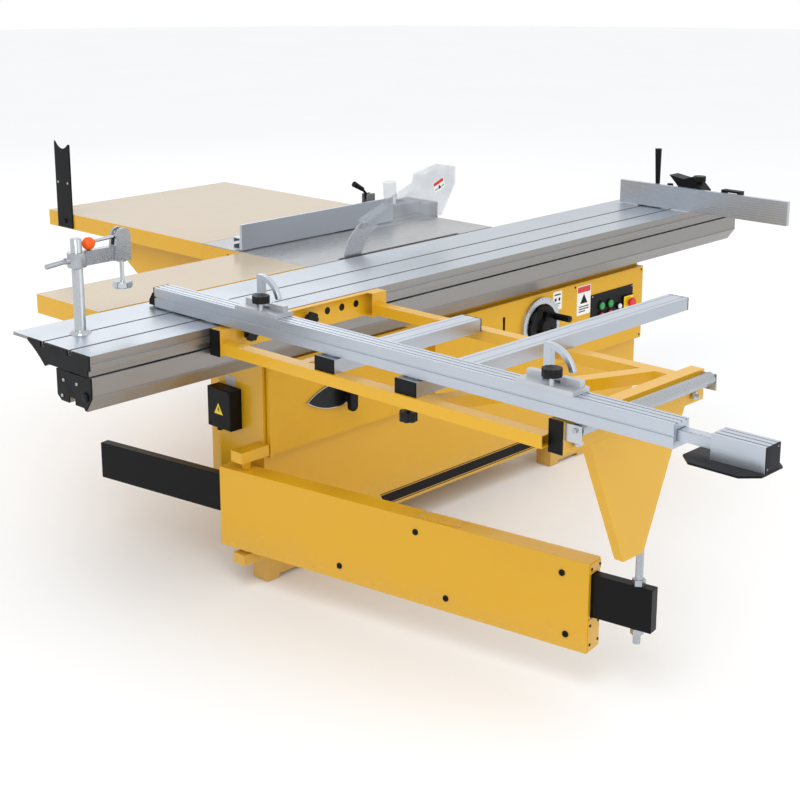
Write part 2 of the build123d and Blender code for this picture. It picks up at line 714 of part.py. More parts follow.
def fence_outline(height):
    """Fence section with three grooves on top and one along each face."""
    middle_x = fence_x + fence_width / 2
    middle_z = fence_bottom + height / 2
    with Locations((middle_x, middle_z)):
        Rectangle(fence_width, height)
        Rectangle(core, height - fence_solid, mode=Mode.SUBTRACT)
    for groove in (-18, 0, 18):
        with Locations((middle_x + groove, fence_bottom + height)):
            Rectangle(4, 8, mode=Mode.SUBTRACT)
    for face_x in (fence_x, fence_x + fence_width):
        with Locations((face_x, middle_z)):
            Rectangle(6, 5, mode=Mode.SUBTRACT)


with BuildPart() as cross_fence:
    with BuildSketch(Plane.XZ.offset(-fence_end)):
        fence_outline(fence_height)
    extrude(amount=-fence_length)
    # shoes that stand the fence on the sliding table and on the support bars
    for shoe_y in (fence_start - 60, -20, short_bar_near + bar_width / 2, long_bar_near + bar_width / 2):
        block((fence_x + 10, fence_x + fence_width - 10), (shoe_y - 18, shoe_y + 18),
              (table_height, fence_bottom))
save(cross_fence, "cross_fence")

tongue = core - 2 * running_gap - 2
tongue_height = fence_height - fence_solid - 2 * running_gap - 2
extension_end = fence_end - extension_reach
end_block = 128
shoe_plate = 5
with BuildPart() as fence_extension:
    middle = fence_x + fence_width / 2
    tongue_z = fence_bottom + fence_height / 2
    block((middle - tongue / 2, middle + tongue / 2), (extension_end + 10, fence_end + 700),
          (tongue_z - tongue_height / 2, tongue_z + tongue_height / 2))
    block((middle - tongue / 2 + wall, middle + tongue / 2 - wall), (extension_end + 10, fence_end + 700),
          (tongue_z - tongue_height / 2 + wall, tongue_z + tongue_height / 2 - wall), Mode.SUBTRACT)
    block((fence_x, fence_x + fence_width), (extension_end, extension_end + end_block),
          (fence_bottom, fence_top))
    for groove in (-18, 0, 18):
        block((middle + groove - 2, middle + groove + 2), (extension_end, extension_end + end_block),
              (fence_top - 4, fence_top), Mode.SUBTRACT)
save(fence_extension, "fence_extension")

# eight-sided support plate under the end block
with BuildPart() as extension_shoe:
    with BuildSketch(Plane.XY.offset(fence_bottom - shoe_plate)):
        with Locations((middle, extension_end + end_block / 2 + 28)):
            Rectangle(150, end_block + 60)
    extrude(amount=shoe_plate)
    chamfer(extension_shoe.edges().filter_by(Axis.Z), 34)
save(extension_shoe, "extension_shoe")

stop_length = 166
stop_arm_height = 88
stop_knob_radius = 24


def flip_stop(number, near):
    """Slide base that clamps on the fence, and an arched arm that flips over it."""
    far = near + stop_length
    deck = fence_top + running_gap + 12
    knob_at = (fence_x + 6, near + 66)
    hub_x = fence_x + 41
    hub_radius = 7.7
    lug = (hub_x - 9, hub_x + 9)
    leaf = (hub_x - 7, hub_x + 7)
    with BuildPart() as base:
        block((fence_x - 2, fence_x + fence_width + 2), (near, far), (fence_top + running_gap, deck))
        block(lug, (near + 6, near + 62), (deck, deck + 16))
        block(lug, (far - 52, far - 6), (deck, deck + 16))
        rod((*knob_at, deck), UP, 6, 26)
        with BuildSketch(Plane.XY.offset(deck + 22)):
            with Locations(knob_at):
                Circle(stop_knob_radius)
                with PolarLocations(stop_knob_radius + 1.5, 12):
                    Circle(3.5, mode=Mode.SUBTRACT)
        extrude(amount=20)
        rod((hub_x, near + 62, deck + 8), ALONG_Y, 4, far - near - 114)
    save(base, f"stop_base_{number}")
    with BuildPart() as arm:
        span = (near + 62 + running_gap, far - 52 - running_gap)
        rod((hub_x, span[0], deck + 8), ALONG_Y, hub_radius, span[1] - span[0])
        block(leaf, (span[1] - 22, span[1]), (deck + 8, deck + stop_arm_height))
        with BuildSketch(Plane.YZ.offset(leaf[0])):
            with BuildLine():
                ThreePointArc((span[1] - 20, deck + stop_arm_height),
                              (span[1] - 66, deck + stop_arm_height - 22),
                              (span[1] - 86, deck + 30))
                Line((span[1] - 86, deck + 30), (span[1] - 74, deck + 30))
                ThreePointArc((span[1] - 74, deck + 30),
                              (span[1] - 58, deck + stop_arm_height - 31),
                              (span[1] - 20, deck + stop_arm_height - 13))
                Line((span[1] - 20, deck + stop_arm_height - 13), (span[1] - 20, deck + stop_arm_height))
            make_face()
        extrude(amount=leaf[1] - leaf[0])
        rod((hub_x, span[0], deck + 8), ALONG_Y, 4 + 0.1, span[1] - span[0], Mode.SUBTRACT)
    save(arm, f"stop_arm_{number}")


flip_stop(1, -313)
flip_stop(2, -1302)

# ---- hold-down clamp --------------------------------------------------------------------------
with BuildPart() as clamp_post:
    taper((post_x, post_y, table_height), UP, 30, 22, 10)
    rod((post_x, post_y, table_height + 10), UP, post_radius, 254)
    chamfer(clamp_post.edges().group_by(Axis.Z)[-1], 2)
    rod((post_x, post_y, table_height), DOWN, 3.5, slot_depth - 6)
save(clamp_post, "clamp_post")

hub_z = (table_height + 186, table_height + 226)
head_x = post_x + clamp_reach
cam_z = table_height + 252
with BuildPart() as clamp_arm:
    rod((post_x, post_y, hub_z[0]), UP, 26, hub_z[1] - hub_z[0])
    block((post_x, head_x - 14), (post_y - 11, post_y + 11), hub_z)
    with BuildSketch(Plane.XZ.offset(-post_y - 17)):
        with BuildLine():
            Polyline((head_x - 34, hub_z[0]), (head_x + 22, hub_z[0] - 6), (head_x + 22, cam_z))
            ThreePointArc((head_x + 22, cam_z), (head_x - 2, cam_z + 22), (head_x - 24, cam_z))
            Line((head_x - 24, cam_z), (head_x - 34, hub_z[0]))
        make_face()
    extrude(amount=34)
    # slot for the cam, and bore for the spindle
    block((head_x - 40, head_x + 30), (post_y - 8, post_y + 8), (hub_z[1] + 2, cam_z + 30), Mode.SUBTRACT)
    rod((head_x, post_y, hub_z[0] - 8), UP, 14, 10)
    rod((head_x, post_y, hub_z[0] - 20), UP, 6 + 0.1, 80, Mode.SUBTRACT)
    rod((post_x, post_y, hub_z[0]), UP, post_radius + 0.1, 60, Mode.SUBTRACT)
    rod((head_x, post_y - 17, cam_z), ALONG_Y, 4, 34)
    rod((post_x - 24, post_y, hub_z[0] + 20), TOWARD_REAR, 9, 14)
    rod((post_x - 38, post_y, hub_z[0] + 20), (-1, 0, -0.1), 7, 60)
save(clamp_arm, "clamp_arm")

ball_x = head_x - 106
with BuildPart() as clamp_lever:
    rod((head_x, post_y - 7.7, cam_z), ALONG_Y, 14, 15.4)
    rod((head_x - 12, post_y, cam_z), (ball_x - head_x, 0, -6), 5, 90)
    with Locations(Plane(origin=(ball_x, post_y, cam_z - 8), z_dir=ALONG_Y)):
        Sphere(18)
    rod((head_x, post_y - 8, cam_z), ALONG_Y, 4 + 0.1, 16, Mode.SUBTRACT)
save(clamp_lever, "clamp_lever")

pad_z = table_height + 104
with BuildPart() as clamp_spindle:
    rod((head_x, post_y, pad_z + 20), UP, 6, hub_z[1] - pad_z - 12)
    rod((head_x, post_y, pad_z), UP, 28, 20)
    fillet(clamp_spindle.edges().filter_by(GeomType.CIRCLE).filter_by(lambda e: e.radius > 27), 4)
save(clamp_spindle, "clamp_spindle")

# ---- short fence and its fittings -----------------------------------------------------------------
short_bottom = table_height + 5
short_top = short_bottom + short_fence_height
short_back = short_fence_x + short_fence_plate
with BuildPart() as short_fence:
    block((short_fence_x, short_back), short_fence_y, (short_bottom, short_top))
    for number in range(9):
        groove_z = short_bottom + 9 + number * 9
        block((short_fence_x, short_fence_x + 0.8), short_fence_y, (groove_z, groove_z + 1.5),
              Mode.SUBTRACT)
    # foot that bolts to the table slot
    block((short_back, short_back + 70), (60, 170), (table_height, table_height + 14))
    block((short_back, short_back + 14), (60, 170), (table_height, short_top - 20))
save(short_fence, "short_fence")

with BuildPart() as short_fence_fittings:
    # clamp lever with its grip
    rod((short_back + 30, 100, table_height + 14), UP, 7, 76)
    taper((short_back + 30, 100, table_height + 90), (0, 0.02, 1), 9, 13, 138)
    # edging shoe
    with BuildSketch(Plane.YZ.offset(short_back)):
        with BuildLine():
            Polyline((-29, short_top - 14), (28, table_height + 136), (-38, table_height + 126),
                     (-72, table_height + 138), (-126, short_top - 6), (-126, short_top - 14),
                     close=True)
        make_face()
    extrude(amount=60)
    rod((short_back + 30, -92, table_height + 120), UP, 24, 20)
    # pull handle
    block((short_back, short_back + 30), (-220, -208), (short_top - 30, short_top + 10))
    block((short_back, short_back + 30), (-290, -278), (short_top - 40, short_top + 4))
    block((short_back, short_back + 30), (-290, -208), (short_top + 2, short_top + 10))
    rod((short_back + 16, 32, short_top - 30), UP, 12, 34)
save(short_fence_fittings, "short_fence_fittings")

# ---- swing arm, telescopic beam and support rod ------------------------------------------------------
arm_plane = Plane(origin=(pivot_x, pivot_y, 0),
                  x_dir=(cos(radians(arm_angle)), sin(radians(arm_angle)), 0), z_dir=(0, 0, 1))
arm_half = arm_width / 2
slide_fit = 1.5
beam_half = telescope_width / 2
window = (telescope_bottom - slide_fit, telescope_top + slide_fit)
with BuildPart(arm_plane) as swing_arm:
    block((-arm_tail, arm_head), (-arm_half, arm_half), (arm_bottom, arm_top))
    block((-arm_tail + arm_wall, arm_head - arm_wall), (-arm_half + arm_wall, arm_half - arm_wall),
          (arm_bottom + arm_wall, arm_top - arm_wall), Mode.SUBTRACT)
    block((-arm_tail, arm_head), (-beam_half - slide_fit, beam_half + slide_fit), window, Mode.SUBTRACT)
    for pin_z in (arm_bottom, arm_top - arm_wall):
        with Locations((0, 0, pin_z)):
            Cylinder(8 + 0.1, arm_wall, align=(Align.CENTER, Align.CENTER, Align.MIN), mode=Mode.SUBTRACT)
    # guide pads above and below the telescopic beam
    for pad_x in (120, 1040):
        block((pad_x, pad_x + 90), (-arm_half + arm_wall, arm_half - arm_wall),
              (window[1], arm_top - arm_wall))
        block((pad_x, pad_x + 90), (-arm_half + arm_wall, arm_half - arm_wall),
              (arm_bottom + arm_wall, window[0]))
save(swing_arm, "swing_arm")

telescope_head = rod_distance + 45
with BuildPart(arm_plane) as telescopic_beam:
    block((-telescope_tail, telescope_head), (-beam_half, beam_half), (telescope_bottom, telescope_top))
    block((-telescope_tail + sheet, telescope_head - sheet), (-beam_half + sheet, beam_half - sheet),
          (telescope_bottom + sheet, telescope_top - sheet), Mode.SUBTRACT)
    with Locations((rod_distance, 0, telescope_bottom)):
        Cylinder(rod_radius, telescope_height, align=(Align.CENTER, Align.CENTER, Align.MIN),
                 mode=Mode.SUBTRACT)
save(telescopic_beam, "telescopic_beam")

nut_height = 16
with BuildPart() as support_rod:
    rod((rod_x, rod_y, telescope_bottom - nut_height - 26), UP, rod_radius,
        leg_bottom - free_gap - telescope_bottom + nut_height + 26)
    for nut_z in (telescope_top, telescope_bottom - nut_height):
        with BuildSketch(Plane.XY.offset(nut_z)):
            with Locations((rod_x, rod_y)):
                RegularPolygon(15, 6, major_radius=False)
        extrude(amount=nut_height)
save(support_rod, "support_rod")

# ---- rip fence ---------------------------------------------------------------------------------------
rail_x = cast_end_x + 42
rail_z = cast_bottom
rail_y = (340, side_far - 8)
with BuildPart() as rip_rail:
    rod((rail_x, rail_y[0], rail_z), ALONG_Y, rip_rail_radius, rail_y[1] - rail_y[0])
    for stand_y, start in ((560, cast_end_x), (780, cast_end_x), (1200, side_end_x), (1700, side_end_x)):
        block((start, rail_x), (stand_y, stand_y + 24), (rail_z - 8, rail_z + 8))
save(rip_rail, "rip_rail")

carriage_y = (640, 800)
carriage_top = table_height + 40
arm_back = rip_face + 84
with BuildPart() as rip_carriage:
    block((cast_end_x + 12, rail_x + 38), carriage_y, (rail_z + rip_rail_radius + running_gap, carriage_top))
    block((rail_x + 22, rail_x + 38), carriage_y, (rail_z - 28, carriage_top))
    rod((rail_x + 38, 720, carriage_top - 20), ALONG_X, 16, 26)
    # long arm over the saw table that carries the fence
    block((40, cast_end_x + 30), (rip_face + 48, arm_back), (rip_bottom, rip_bottom + 42))
    # bracket of the fence lever
    for cheek_y in (rip_face + 50, arm_back - 10):
        block((176, 214), (cheek_y, cheek_y + 8), (rip_bottom + 42, table_height + 108))
    rod((195, rip_face + 50, table_height + 94), ALONG_Y, 5, 34)
save(rip_carriage, "rip_carriage")

with BuildPart() as rip_fence:
    rip_start = cast_start_x + 3
    with BuildSketch(Plane.YZ.offset(rip_start)):
        with BuildLine():
            Polyline((rip_face, rip_bottom), (rip_face, rip_bottom + rip_height - 2),
                     (rip_face + 10, rip_bottom + rip_height - 2), (rip_face + 10, rip_bottom + 42),
                     (rip_face + 46, rip_bottom + 42), (rip_face + 46, rip_bottom), close=True)
        make_face()
        with Locations((rip_face + 28, rip_bottom + 21)):
            Rectangle(28, 34, mode=Mode.SUBTRACT)
        with Locations((rip_face + 46, rip_bottom + 21)):
            Rectangle(12, 9, mode=Mode.SUBTRACT)
    extrude(amount=rip_length)
save(rip_fence, "rip_fence")

lever_y = (rip_face + 50 + arm_back - 2) / 2
with BuildPart() as rip_lever:
    rod((195, lever_y - 8, table_height + 94), ALONG_Y, 12, 16)
    rod((195, lever_y, table_height + 94), (-40, 0, 44), 5, 44)
    taper((165, lever_y, table_height + 127), (-40, 0, 22), 8, 11, 52)
    rod((195, lever_y - 9, table_height + 94), ALONG_Y, 5.1, 18, Mode.SUBTRACT)
save(rip_lever, "rip_lever")

# ---- tilting unit ----------------------------------------------------------------------------------
tilt_axis = (blade_plane, table_height)


def at(radius, angle):
    """Point about the tilt axis, at an angle in degrees."""
    return (tilt_axis[0] + radius * cos(radians(angle)), tilt_axis[1] + radius * sin(radians(angle)))


def band(start, inner_radius, outer_radius, first, last):
    """Ring sector about the tilt axis, between two angles in degrees."""
    half = (first + last) / 2
    with BuildSketch(Plane.YZ.offset(start)) as sector:
        with BuildLine():
            ThreePointArc(at(outer_radius, first), at(outer_radius, half), at(outer_radius, last))
            Line(at(outer_radius, last), at(inner_radius, last))
            ThreePointArc(at(inner_radius, last), at(inner_radius, half), at(inner_radius, first))
            Line(at(inner_radius, first), at(outer_radius, first))
        make_face()
    return sector.sketch


with BuildPart() as trunnion_supports:
    ring = trunnion_inner + 0.5
    for start in (trunnion_rear, trunnion_front):
        extrude(band(start, ring, ring + trunnion_band, -148, -30), amount=trunnion_width)
        post_near = tilt_axis[0] + (ring + 4) * cos(radians(30))
        block((start, start + trunnion_width), (post_near, post_near + 36),
              (table_height - ring * sin(radians(30)) - 16, cast_bottom))
save(trunnion_supports, "trunnion_supports")

plate_near = blade_plane + 25
plate_far = plate_near + 12
plate_z = (table_height - 280, table_height - 80)
knife_foot = table_height - 135
window_x = (blade_x - 45, blade_x + 45)
knife_tail_x = -232
with BuildPart() as tilt_frame:
    block((trunnion_rear + trunnion_width, trunnion_front), (plate_near, plate_far), plate_z)
    block(window_x, (plate_near, plate_far), (blade_rest_z - 45, plate_z[1]), Mode.SUBTRACT)
    for start in (trunnion_rear, trunnion_front):
        extrude(band(start, 90, trunnion_inner, -108, -48), amount=trunnion_width)
    # bracket for the riving knife
    block((knife_tail_x - 90, knife_tail_x - 16), (blade_plane + knife_thickness / 2, plate_near),
          (knife_foot, plate_z[1]))
    rod((scoring_x, plate_near - 14, scoring_z), ALONG_Y, 22, 14)
    rod((scoring_x, plate_near - 14, scoring_z), ALONG_Y, 8 + 0.1, 30, Mode.SUBTRACT)
    # upright ways for the lift carriage, behind the plate
    for way_x in (blade_x - 122, blade_x + 106):
        block((way_x, way_x + 16), (plate_far, plate_far + 18),
              (plate_z[0] + 10, plate_z[1] - 4))
save(tilt_frame, "tilt_frame")

arc_centre = (blade_x, table_height - blade_top_drop)
knife_radius = blade_radius + knife_gap
with BuildPart() as riving_knife:
    with BuildSketch(Plane.XZ.offset(-blade_plane + knife_thickness / 2)):
        with BuildLine():
            top_angle = radians(112)
            front_top = (arc_centre[0] + knife_radius * cos(top_angle),
                         arc_centre[1] + knife_radius * sin(top_angle))
            mid_angle = radians(146)
            front_mid = (arc_centre[0] + knife_radius * cos(mid_angle),
                         arc_centre[1] + knife_radius * sin(mid_angle))
            front_low = (arc_centre[0] - knife_radius, arc_centre[1])
            ThreePointArc(front_top, front_mid, front_low)
            Polyline(front_low, (front_low[0], knife_foot), (front_low[0] - 70, knife_foot),
                     (front_low[0] - 70, table_height - 6))
            ThreePointArc((front_low[0] - 70, table_height - 6), (-283, table_height + 66),
                          (-214, table_height + 112))
            Line((-214, table_height + 112), front_top)
        make_face()
    extrude(amount=-knife_thickness)
save(riving_knife, "riving_knife")

guard_half = 25
guard_wall = 2.5


def guard_outline(near, inset):
    """Side outline of the guard, open along its bottom edge."""
    with BuildSketch(Plane.XZ.offset(-near)) as outline:
        with BuildLine():
            Polyline((-226 + inset, table_height + 84), (-226 + inset, table_height + 112 - inset),
                     (-30, table_height + 184 - inset), (44 + inset, table_height + 208),
                     (55 + inset, table_height + 241 - inset), (172, table_height + 262 - inset),
                     (222 - inset, table_height + 252 - inset), (222 - inset, table_height + 191),
                     (150 - inset, table_height + 84), close=True)
        make_face()
    return outline.sketch


with BuildPart() as blade_guard:
    extrude(guard_outline(blade_plane - guard_half, 0), amount=-2 * guard_half)
    extrude(guard_outline(blade_plane - guard_half + guard_wall, guard_wall),
            amount=-2 * (guard_half - guard_wall), mode=Mode.SUBTRACT)
    with Locations(Plane(origin=(-85, blade_plane, table_height + 150), z_dir=(-0.08, 0, 1))):
        Cylinder(24, 80, align=(Align.CENTER, Align.CENTER, Align.MIN))
        Cylinder(22, 90, align=(Align.CENTER, Align.CENTER, Align.MIN), mode=Mode.SUBTRACT)
    block((-232, -140), (blade_plane - 2, blade_plane + 2), (table_height + 80, table_height + 125),
          Mode.SUBTRACT)
    # bolt that holds the guard on the knife
    rod((-200, blade_plane - guard_half, table_height + 98), ALONG_Y, 5, guard_half - knife_thickness / 2)
    rod((-200, blade_plane + knife_thickness / 2, table_height + 98), ALONG_Y, 5,
        guard_half - knife_thickness / 2)
save(blade_guard, "blade_guard")

with BuildPart() as scoring_motor:
    rod((scoring_x, plate_far, scoring_z), ALONG_Y, 36, 120)
    rod((scoring_x, plate_far, scoring_z), ALONG_Y, 8 + 0.1, 60, Mode.SUBTRACT)
save(scoring_motor, "scoring_motor")

with BuildPart() as scoring_spindle:
    rod((scoring_x, blade_plane - 14, scoring_z), ALONG_Y, 8, plate_far + 58 - blade_plane + 14)
    rod((scoring_x, blade_plane - 1.6, scoring_z), ALONG_Y, scoring_radius, blade_thickness)
    rod((scoring_x, blade_plane - 10, scoring_z), ALONG_Y, 14, 20)
save(scoring_spindle, "scoring_spindle")

carriage_near = plate_far + 1
arbor_z = blade_rest_z
motor_x = blade_x + 30
motor_z = arbor_z - 72
motor_radius = 72
arbor_pulley = 30
drive_pulley = 24
belt_width = 14
belt_thickness = 5
with BuildPart() as lift_carriage:
    block((blade_x - 105, blade_x + 105), (carriage_near, carriage_near + 14), (arbor_z - 60, arbor_z - 8))
    block((blade_x - 60, blade_x + 60), (carriage_near, carriage_near + 14), (arbor_z - 60, arbor_z + 28))
    rod((blade_x, plate_near - 10, arbor_z), ALONG_Y, 34, carriage_near + 14 - plate_near + 10)
    rod((blade_x, plate_near - 10, arbor_z), ALONG_Y, arbor_radius + 0.1, 60, Mode.SUBTRACT)
save(lift_carriage, "lift_carriage")

pulley_near = carriage_near + 20
with BuildPart() as arbor:
    rod((blade_x, blade_plane - 16, arbor_z), ALONG_Y, arbor_radius, pulley_near + 24 - blade_plane + 16)
    rod((blade_x, blade_plane + blade_thickness / 2, arbor_z), ALONG_Y, 22, 8)
    rod((blade_x, blade_plane - blade_thickness / 2, arbor_z), TOWARD_NEAR, 22, 6)
    rod((blade_x, pulley_near, arbor_z), ALONG_Y, arbor_pulley, 22)
save(arbor, "arbor")

tooth_count = 36
tooth_depth = 7
with BuildPart() as saw_blade:
    with BuildSketch(Plane.XZ.offset(-blade_plane + blade_thickness / 2)):
        with Locations((blade_x, arbor_z)):
            Circle(blade_radius - tooth_depth)
            with PolarLocations(blade_radius - tooth_depth / 2 - 1, tooth_count):
                Rectangle(tooth_depth + 2, 8)
            Circle(arbor_radius, mode=Mode.SUBTRACT)
    extrude(amount=-blade_thickness)
save(saw_blade, "saw_blade")

motor_face = carriage_near + 14
with BuildPart() as drive_motor:
    rod((motor_x, pulley_near + 34, motor_z), ALONG_Y, motor_radius, 200)
    block((motor_x - 40, motor_x + 40), (motor_face, pulley_near + 44), (motor_z - motor_radius - 8,
                                                                       motor_z - 40))
    rod((motor_x, pulley_near + 34, motor_z), ALONG_Y, 11 + 0.1, 40, Mode.SUBTRACT)
    # belt round the two pulleys, as a closed loop
    belt_far = pulley_near + 18
    for grow, operation in ((belt_thickness, Mode.ADD), (0, Mode.SUBTRACT)):
        with BuildSketch(Plane.XZ.offset(-belt_far)):
            with Locations((blade_x, arbor_z)):
                Circle(arbor_pulley + running_gap + grow)
            with Locations((motor_x, motor_z)):
                Circle(drive_pulley + running_gap + grow)
            make_hull()
        extrude(amount=belt_width, mode=operation)
save(drive_motor, "drive_motor")

with BuildPart() as motor_pulley:
    rod((motor_x, pulley_near - 2, motor_z), ALONG_Y, 11, 70)
    rod((motor_x, pulley_near, motor_z), ALONG_Y, drive_pulley, 22)
save(motor_pulley, "motor_pulley")
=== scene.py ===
"""Finishes, small fittings, light and camera for the sliding-table panel saw."""

from math import cos, pi, radians, sin

import bmesh
import bpy
from mathutils import Matrix, Vector


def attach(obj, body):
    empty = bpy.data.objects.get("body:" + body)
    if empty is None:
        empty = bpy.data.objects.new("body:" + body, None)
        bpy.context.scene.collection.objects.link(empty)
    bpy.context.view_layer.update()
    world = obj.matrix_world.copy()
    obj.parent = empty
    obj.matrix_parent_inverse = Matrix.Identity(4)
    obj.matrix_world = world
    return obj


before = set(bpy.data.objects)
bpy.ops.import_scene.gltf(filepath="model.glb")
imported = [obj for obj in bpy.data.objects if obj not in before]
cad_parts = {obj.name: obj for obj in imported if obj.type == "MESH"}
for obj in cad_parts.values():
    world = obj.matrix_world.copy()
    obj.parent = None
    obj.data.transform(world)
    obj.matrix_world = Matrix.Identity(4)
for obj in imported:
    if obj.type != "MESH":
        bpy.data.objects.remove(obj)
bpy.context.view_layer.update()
MM = 0.001

# faces that the small fittings sit on, in millimetres along the axis they look along
CABINET_FRONT = 23
CABINET_REAR = -932
CONTROL_FRONT = -5
PANEL_FRONT = -8
RING_FRONT = -18
BEAM_REAR = -1598
EXTENSION_NEAR = -1785
TONGUE_TOP = 925.2
WHEEL_CENTRE = (352, 575)
LABEL = 0.4
MARK = 0.2


# ---- shader building ---------------------------------------------------------
class Wire:
    """One output of a material's node tree, with arithmetic that adds Math nodes."""

    def __init__(self, finish, socket):
        self.finish = finish
        self.socket = socket

    def _math(self, operation, first, second=0.0):
        node = self.finish.node("ShaderNodeMath", {"operation": operation}, {0: first, 1: second})
        return Wire(self.finish, node.outputs[0])

    def __add__(self, other):
        return self._math("ADD", self, other)

    def __radd__(self, other):
        return self._math("ADD", other, self)

    def __sub__(self, other):
        return self._math("SUBTRACT", self, other)

    def __rsub__(self, other):
        return self._math("SUBTRACT", other, self)

    def __mul__(self, other):
        return self._math("MULTIPLY", self, other)

    def __rmul__(self, other):
        return self._math("MULTIPLY", other, self)

    def __truediv__(self, other):
        return self._math("DIVIDE", self, other)

    def above(self, limit):
        return self._math("GREATER_THAN", self, limit)

    def below(self, limit):
        return self._math("LESS_THAN", self, limit)


class Finish:
    """One procedural material."""

    def __init__(self, name, **fixed):
        self.material = bpy.data.materials.new(name)
        self.material.use_nodes = True
        self.tree = self.material.node_tree
        self.shader = self.tree.nodes["Principled BSDF"]
        for label, value in fixed.items():
            self.shader.inputs[label.replace("_", " ")].default_value = value
        self.place = self.node("ShaderNodeTexCoord").outputs["Object"]

    def node(self, kind, settings=None, values=None):
        made = self.tree.nodes.new(kind)
        for label, value in (settings or {}).items():
            setattr(made, label, value)
        for label, value in (values or {}).items():
            source = value.socket if isinstance(value, Wire) else value
            if isinstance(source, bpy.types.NodeSocket):
                self.tree.links.new(source, made.inputs[label])
            else:
                made.inputs[label].default_value = source
        return made

    def feed(self, label, value):
        self.tree.links.new(value.socket, self.shader.inputs[label])

    def stretched(self, amounts):
        return self.node("ShaderNodeVectorMath", {"operation": "MULTIPLY"},
                         {0: self.place, 1: amounts}).outputs[0]

    def noise(self, scale, detail=3.0, stretch=(1.0, 1.0, 1.0)):
        made = self.node("ShaderNodeTexNoise", None,
                         {"Vector": self.stretched(stretch), "Scale": scale, "Detail": detail})
        return Wire(self, made.outputs["Factor" if "Factor" in made.outputs else "Fac"])

    def axis(self, letter):
        return Wire(self, self.node("ShaderNodeSeparateXYZ", None, {0: self.place}).outputs[letter])

    def facing(self, letter):
        normal = self.node("ShaderNodeNewGeometry").outputs["Normal"]
        return Wire(self, self.node("ShaderNodeSeparateXYZ", None, {0: normal}).outputs[letter])

    def ramp(self, value, low, high, start=0.0, end=1.0):
        made = self.node("ShaderNodeMapRange", {"interpolation_type": "SMOOTHSTEP"},
                         {"Value": value, "From Min": low, "From Max": high, "To Min": start,
                          "To Max": end})
        return Wire(self, made.outputs[0])

    def mix(self, factor, first, second):
        made = self.node("ShaderNodeMix", {"data_type": "RGBA"},
                         {0: factor, 6: first if isinstance(first, Wire) else (*first, 1.0),
                          7: second if isinstance(second, Wire) else (*second, 1.0)})
        return Wire(self, made.outputs[2])

    def bump(self, height, depth):
        made = self.node("ShaderNodeBump", None,
                         {"Strength": 1.0, "Distance": depth, "Height": height})
        self.feed("Normal", Wire(self, made.outputs[0]))


def shade(colour, factor):
    return tuple(min(1.0, part * factor) for part in colour)


def paint(name, colour, gloss=0.22, top=None, grit=0.00015, sheen=0.35):
    """Sprayed paint: orange peel, dust that settles low down, and rubbed spots; a top colour, when given, is
    painted light on faces that look up.
    """
    f = Finish(name, IOR=1.5, Coat_Roughness=0.06, Specular_IOR_Level=sheen)
    cloud = f.noise(2.3)
    dust = f.ramp(f.axis("Z") + f.noise(9.0) * 0.1, 0.03, 0.3, 0.28, 0.0)
    base = f.mix(f.ramp(cloud, 0.3, 0.75), shade(colour, 0.99), shade(colour, 1.01))
    # painted light: faces that look up get the top colour in place of the paint, for how light falls on the
    # tops; the real tops are the same paint
    if top:
        top_painted_light = f.mix(f.ramp(f.noise(1.1), 0.3, 0.7), shade(top, 0.97), shade(top, 1.03))
        base = f.mix(f.facing("Z").above(0.9), base, top_painted_light)
    base = f.mix(dust, base, (0.36, 0.32, 0.26))
    scratch = f.ramp(f.noise(38.0, 5.0, (1.0, 1.0, 0.35)), 0.74, 0.78)
    base = f.mix(scratch * 0.2, base, shade(colour, 0.7))
    f.feed("Base Color", base)
    f.feed("Roughness", f.ramp(f.noise(14.0), 0.2, 0.8, gloss, gloss + 0.03) + dust * 0.5)
    f.feed("Coat Weight", f.ramp(cloud, 0.2, 0.8, sheen * 0.5, sheen * 0.35))
    f.bump(f.noise(420.0, 1.0), grit)
    return f.material


def metal(name, colour, roughness=0.32, grain=(4.0, 120.0, 120.0), stain=0.12, metallic=0.9,
          depth=0.00006, side=None):
    """Drawn, ground or plated metal with a grain direction and handling marks; a side colour, when given, is
    a painted reflection of a dark floor on faces that do not look up.
    """
    f = Finish(name)
    lines = f.noise(6.0, 4.0, grain)
    marks = f.ramp(f.noise(5.0, 5.0), 0.45, 0.72)
    base = f.mix(f.ramp(lines, 0.3, 0.7), shade(colour, 0.93), shade(colour, 1.05))
    # painted reflection: faces that do not look up get the darker side colour, standing in for a dark floor
    # reflected in the metal
    if side:
        base = f.mix(f.ramp(f.facing("Z"), 0.2, 0.8), side, base)
    base = f.mix(marks * stain, base, shade(colour, 0.55))
    f.feed("Base Color", base)
    f.feed("Metallic", f.ramp(marks, 0.0, 1.0, metallic, metallic - 0.15))
    f.feed("Roughness", f.ramp(lines, 0.3, 0.7, roughness - 0.05, roughness + 0.06) + marks * 0.06)
    f.bump(lines, depth)
    return f.material


def plastic(name, colour, roughness=0.4, wear=0.25, grit=0.00012, sheen=0.5):
    """Moulded plastic with a fine grain and paler, handled patches."""
    f = Finish(name, Specular_IOR_Level=sheen)
    patch = f.ramp(f.noise(17.0), 0.42, 0.75)
    worn = tuple(part * 1.25 + 0.008 for part in colour)
    f.feed("Base Color", f.mix(patch * wear, colour, worn))
    f.feed("Roughness", f.ramp(patch, 0.0, 1.0, roughness, roughness + 0.12))
    f.bump(f.noise(650.0, 2.0), grit)
    return f.material


def clear_plastic(name):
    """Clear sheet with a faint tint, fine scratches and dust."""
    f = Finish(name, IOR=1.46)
    haze = f.ramp(f.noise(9.0, 4.0), 0.35, 0.75)
    f.feed("Base Color", f.mix(haze, (0.42, 0.46, 0.5), (0.56, 0.6, 0.64)))
    f.feed("Alpha", f.ramp(haze, 0.0, 1.0, 0.16, 0.26))
    f.feed("Roughness", f.ramp(f.noise(60.0, 3.0, (1.0, 1.0, 4.0)), 0.3, 0.7, 0.05, 0.16))
    f.bump(f.noise(3.0), 0.0004)
    return f.material


